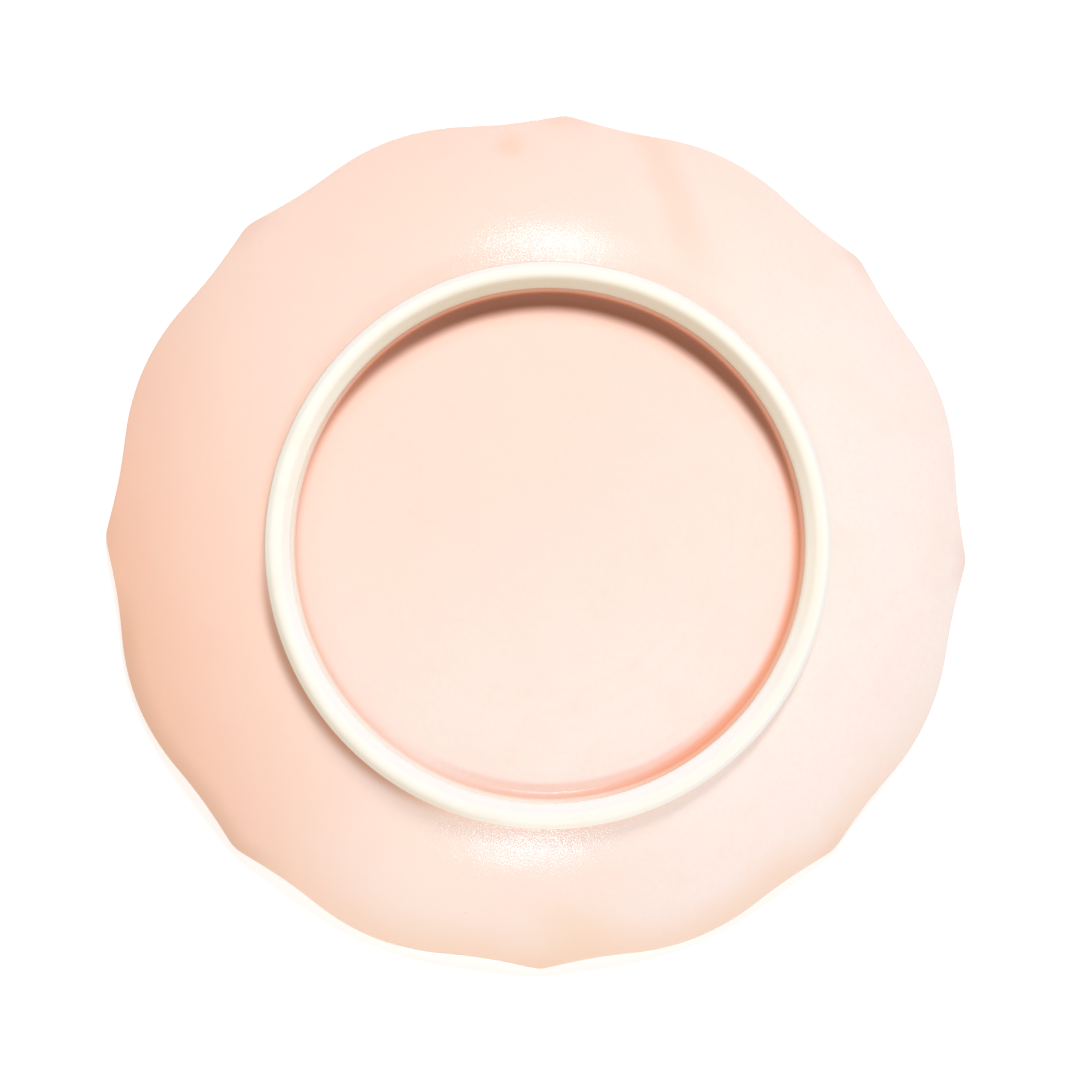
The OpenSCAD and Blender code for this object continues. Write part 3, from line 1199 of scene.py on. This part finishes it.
@dataclass
class BaseGlaze:
    """The glaze inside the foot, with turning rings, a pip in the middle and a pool in the corner."""

    foot: FootRing
    line_z: float
    recess_z: float
    glaze_t: float = 0.4 * MM
    pool_w: float = 2.6 * MM
    pool_h: float = 1.6 * MM
    ring_w: float = 4.5 * MM
    ring_h: float = 0.03 * MM
    ring_fade: float = 13.5 * MM
    pip_r: float = 2.2 * MM
    pip_h: float = 0.12 * MM
    taper: float = 1.6 * MM
    side_steps: int = 16
    cove_steps: int = 18
    flat_steps: int = 50
    ceiling_rings: Span = (0.5, 1)

    def surface(self) -> np.ndarray:
        """Section of the glaze's surface.

        The glaze starts from nothing on the foot's side and thickens over the taper, as
        glaze_t sin(pi u / 2) with u from 0 to 1. The side then goes up to the pool, which is a quarter of an
        ellipse from the side to the base. The base lies level but for turning rings,
        ring_h sin^2(pi r / ring_w), that fade out towards the pool, and a pip, pip_h e^(-(r / pip_r)^2).
        Both stand down from it.

        Returns:
            Radius + i height, from the edge of the glaze on the foot to the last ring before the axis.
        """
        base_z = self.recess_z - self.glaze_t
        side_z = np.linspace(self.line_z, base_z - self.pool_h, self.side_steps + 1)
        grown = np.sin(np.pi / 2 * np.minimum((side_z - self.line_z) / self.taper, 1))
        side = self.foot.inside_r(side_z) - self.glaze_t * grown + 1j * side_z
        turn = np.pi / 2 * np.arange(1, self.cove_steps + 1) / self.cove_steps
        cove = side[-1] - self.pool_w * (1 - np.cos(turn)) + 1j * self.pool_h * np.sin(turn)
        flat_r = cove[-1].real * np.arange(self.flat_steps - 1, 0, -1) / self.flat_steps
        fade = eased((cove[-1].real - flat_r) / self.ring_fade)
        rings = self.ring_h * np.sin(np.pi * flat_r / self.ring_w) ** 2 * fade
        flat = flat_r + 1j * (base_z - rings - self.pip_h * np.exp(-(flat_r / self.pip_r) ** 2))
        return np.concatenate([side, cove, flat])

    def build(self, finish: GlazeFinish, columns: np.ndarray) -> None:
        """Builds the lining of the recess, with its distance from the glaze's edge for the finish.

        Args:
            finish: The glaze.
            columns: Angles round the axis.
        """
        surface = self.surface()
        ceiling = self.foot.inside_r(self.recess_z) * np.array(self.ceiling_rings) + 1j * self.recess_z
        section = np.concatenate([ceiling, surface])[:, None]
        run = np.cumsum(np.abs(np.diff(section[:, 0], prepend=section[0])))
        from_edge = (run - run[len(ceiling)])[:, None] + 0 * columns
        points = self.foot.hand.turned(section.real, section.imag, columns)
        ends = self.foot.hand.on_axis(self.recess_z, surface[-1].imag - self.ring_h)
        piece = closed_skin("glaze_in_foot", points, ends, {"from_edge": from_edge})
        install(piece, finish.in_foot(), "base_glaze")


@dataclass(frozen=True)
class Ground:
    """A pale sheet seen from one side only, which hides nothing and takes no light from the plate."""

    name: str
    height: float
    side: Side
    glow: float
    colour: str = "#F7F6F4"
    half: float = 3.0

    def build(self) -> None:
        """Builds the sheet facing away from the plate's side, with a finish that is clear from behind."""
        corner = np.array([[-1, -1], [1, -1], [1, 1], [-1, 1]]) * self.half
        flat = np.column_stack([corner, np.full(4, self.height)])
        mesh = bpy.data.meshes.new(self.name)
        mesh.from_pydata(flat[:: self.side.value].tolist(), [], [(0, 1, 2, 3)])
        sheet = bpy.data.objects.new(self.name, mesh)
        bpy.context.scene.collection.objects.link(sheet)
        material, graph = new_material(self.name)
        matt = graph.node("BsdfDiffuse", {}, {"Color": linear(self.colour)})
        glow = graph.node("Emission", {}, {"Color": linear(self.colour), "Strength": self.glow})
        front = graph.node("AddShader", {}, {0: matt, 1: glow})
        behind = graph.node("NewGeometry", output="Backfacing")
        graph.end(graph.node("MixShader", {}, {0: behind, 1: front, 2: graph.node("BsdfTransparent")}))
        mesh.materials.append(material)
        sheet.visible_shadow = False
        sheet.visible_diffuse = False
        sheet.visible_glossy = False
        sheet.visible_transmission = False
        log.info("%s lies at %.1f mm", self.name, self.height / MM)


@dataclass(frozen=True)
class Lamp:
    """A soft lamp, placed by where it stands in a picture of the side of the plate that it lights.

    Its bearing goes round from the right of the picture, and its elevation up from the plane of the rim,
    both in degrees.
    """

    name: str
    bearing: float
    elevation: float
    width: float
    depth: float
    level: float
    tint: str = "#FFFFFF"
    glints: bool = True
    distance: float = 1.0

    def build(self, side: Side, aim: Vector) -> None:
        """Sets the lamp up.

        A white surface that faces it from the plate's place shows the lamp's level.

        Args:
            side: The side of the plate that it lights.
            aim: The point that it faces.
        """
        bearing, elevation = np.radians(self.bearing), np.radians(self.elevation)
        across = np.cos(elevation)
        way = Vector((
            side.value * across * np.cos(bearing),
            across * np.sin(bearing),
            side.value * np.sin(elevation),
        ))
        data = bpy.data.lights.new(f"{self.name}_{side.name.lower()}", "AREA")
        data.shape = "RECTANGLE"
        data.size = self.width
        data.size_y = self.depth
        data.color = linear(self.tint)[:3]
        data.energy = self.level * np.pi ** 2 * self.distance ** 2
        lamp = bpy.data.objects.new(data.name, data)
        lamp.location = aim + way * self.distance
        lamp.rotation_euler = (-way).to_track_quat("-Z", "Y").to_euler()
        lamp.visible_camera = False
        lamp.visible_glossy = self.glints
        bpy.context.scene.collection.objects.link(lamp)


@dataclass(frozen=True)
class Studio:
    """Light and ground: a rig on each side of the plate, and a pale sky all round."""

    height: float
    gap: float = 0.1 * MM
    paper_glow: float = 0.25
    floor_glow: float = 0.12
    sky: str = "#FFFCF9"
    dim: float = 0.27
    bright: float = 1.1
    bright_way: Way = (0.12, -0.99, 0)
    lamps: Sequence[Lamp] = (
        Lamp("key", bearing=80, elevation=42.5, width=0.22, depth=0.22, level=0.39, glints=False),
        Lamp("glint", bearing=85, elevation=49.5, width=0.22, depth=0.11, level=0.13, tint="#DCE7FF"),
        Lamp("kicker", bearing=273.5, elevation=45.5, width=0.2, depth=0.11, level=0.11, tint="#E6EEFF"),
    )

    def build(self) -> None:
        """Sets up the sky, the lamps and the two sheets that the plate lies on, face up or face down."""
        scene = bpy.context.scene
        world = bpy.data.worlds.new("sky")
        world.use_nodes = True
        graph = Graph(world.node_tree)
        path = graph.node("LightPath", output="Is Camera Ray")
        seen = graph.maths("MAXIMUM", path, path.beside("Is Glossy Ray"))
        seen = graph.maths("MAXIMUM", seen, path.beside("Is Transmission Ray"))
        way = graph.node("TexCoord", output="Generated")
        share = 0.5 + 0.5 * graph.along(way, self.bright_way)
        tint = linear(self.sky)
        dim = graph.node("Background", {}, {"Color": tint, "Strength": self.dim})
        bright = graph.node("Background", {}, {"Color": tint, "Strength": self.bright})
        white = graph.node("Background", {}, {"Color": tint, "Strength": 1.0})
        light = graph.node("MixShader", {}, {0: share, 1: dim, 2: bright})
        all_round = graph.node("MixShader", {}, {0: seen, 1: light, 2: white})
        graph.node("OutputWorld", {}, {"Surface": all_round})
        scene.world = world
        scene.view_settings.view_transform = "Standard"
        aim = Vector((0, 0, self.height / 2))
        for side in Side:
            for lamp in self.lamps:
                lamp.build(side, aim)
        Ground("paper", self.height + self.gap, Side.BELOW, self.paper_glow).build()
        Ground("floor", -self.gap, Side.ABOVE, self.floor_glow).build()


@dataclass(frozen=True)
class BackCamera:
    """Camera below the plate, a little off its axis and rolled, where the whole back fills the picture."""

    station: Point = (28.25 * MM, 8.79 * MM, -373 * MM)
    aim: Point = (0.75 * MM, 1.0 * MM, 27 * MM)
    roll: float = np.radians(1.77)
    lens: float = 54.58

    def build(self) -> None:
        """Sets the camera up, with +Y up in the picture before the roll."""
        forward = (Vector(self.aim) - Vector(self.station)).normalized()
        level = forward.cross(Vector((0, 1, 0))).normalized()
        upright = level.cross(forward)
        right = np.cos(self.roll) * level + np.sin(self.roll) * upright
        up = np.cos(self.roll) * upright - np.sin(self.roll) * level
        data = bpy.data.cameras.new("back_view")
        data.lens = self.lens
        camera = bpy.data.objects.new("back_view", data)
        turn = Matrix((right, up, -forward)).transposed().to_4x4()
        camera.matrix_world = Matrix.Translation(self.station) @ turn
        bpy.context.scene.collection.objects.link(camera)
        bpy.context.scene.camera = camera


def main() -> None:
    """Builds the plate, its light and its camera."""
    logging.basicConfig(level=logging.INFO)
    foot_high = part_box("foot_ring")[1]
    base_low, base_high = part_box("base_glaze")
    glaze, clay = GlazeFinish(), ClayFinish()
    BackCamera().build()
    Studio(cad_box[1].z).build()
    dish = Dish(cad_box[1].x, cad_box[1].z, foot_high.x, foot_high.z)
    foot = FootRing(foot_high.x, foot_high.z, dish.hand)
    base = BaseGlaze(foot, base_low.z, base_high.z)
    dish.clay(clay, foot.inside_r(foot.height), foot.inside_r(base.recess_z), base.recess_z)
    dish.glaze(glaze)
    columns = dish.outline.columns()
    foot.build(clay, columns)
    base.build(glaze, columns)


if __name__ == "__main__":
    main()
